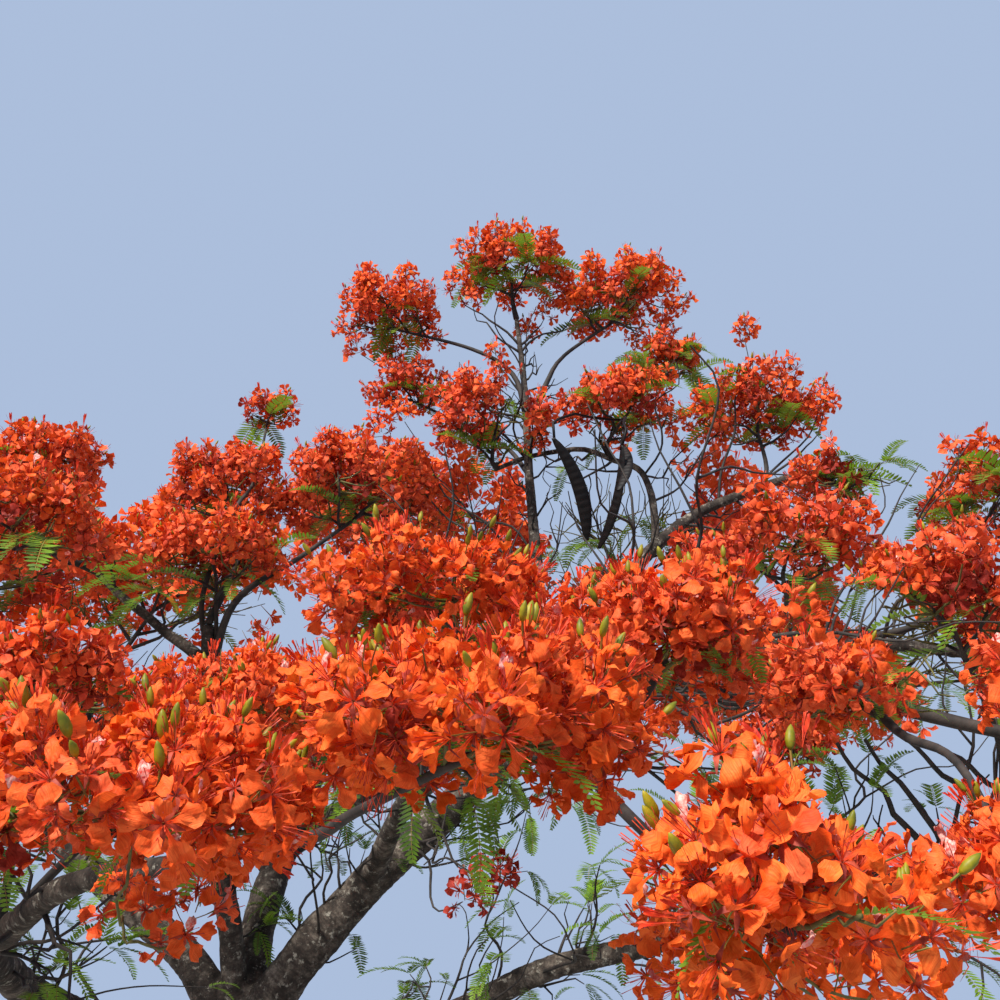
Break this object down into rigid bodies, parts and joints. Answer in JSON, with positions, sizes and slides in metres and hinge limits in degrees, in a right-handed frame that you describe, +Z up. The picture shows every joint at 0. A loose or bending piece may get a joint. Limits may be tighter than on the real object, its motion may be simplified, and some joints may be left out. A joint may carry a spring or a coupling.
{
  "type": "flame tree",
  "caption": "Flame tree in full bloom: short flared trunk, low fork, long crooked boughs under flat spreading masses of orange-red blossom. Rooted in level ground.",
  "frame": {"origin": "middle of the flat cut under the trunk, at ground level", "axes": "+Z up along the trunk, +X to the right and -Y towards the viewer of the picture's side"},
  "size_m": [7.7799, 7.4498, 4.8622],
  "materials": {
    "bark": "grey-brown bark, dull and finely wrinkled, with paler scars and darker creases",
    "blossom": "soft thin petals in orange to scarlet on dark twigs, with a few fresh green feathery leaves, green buds and dark pods"
  },
  "bodies": {
    "root": {"trunk": "bark", "bough_right": "bark", "bough_leader": "bark", "bough_right_mid": "bark", "bough_arc": "bark", "bough_left_front": "bark", "bough_left_leader": "bark", "bough_left_far": "bark", "bough_front": "bark", "bough_front_right": "bark", "bough_low_right": "bark", "bough_right_far": "bark", "bough_back": "bark", "bough_back_right": "bark", "bough_left": "bark", "bough_back_left": "bark", "mass_top": "blossom", "mass_top_left": "blossom", "mass_top_hanging": "blossom", "mass_top_right": "blossom", "mass_top_leafy": "blossom", "mass_left_crest": "blossom", "mass_left_high": "blossom", "mass_left_inner": "blossom", "mass_middle_high": "blossom", "mass_middle_right": "blossom", "mass_right_high": "blossom", "mass_right_shoulder": "blossom", "mass_right_crest": "blossom", "mass_right_middle": "blossom", "mass_right_lower": "blossom", "mass_right_inner": "blossom", "mass_far_left_high": "blossom", "mass_far_left": "blossom", "mass_left_middle": "blossom", "mass_left_outer": "blossom", "mass_left_near": "blossom", "mass_front_high": "blossom", "mass_front_middle": "blossom", "mass_front_outer": "blossom", "mass_near_middle": "blossom", "mass_near_left": "blossom", "mass_near_right": "blossom", "mass_near_right_outer": "blossom", "mass_back_right_rim": "blossom", "mass_back_right_high": "blossom", "mass_right_rim": "blossom", "mass_back_rim": "blossom", "mass_back_high": "blossom", "mass_back_left_rim": "blossom", "mass_back_left_high": "blossom", "mass_back_left_inner": "blossom", "mass_left_rim": "blossom", "mass_left_top": "blossom", "mass_left_front_rim": "blossom", "mass_front_left": "blossom", "mass_front_left_rim": "blossom", "mass_far_right_rim": "blossom", "mass_low_right_rim": "blossom", "mass_front_right_rim": "blossom"}
  },
  "joints": []
}
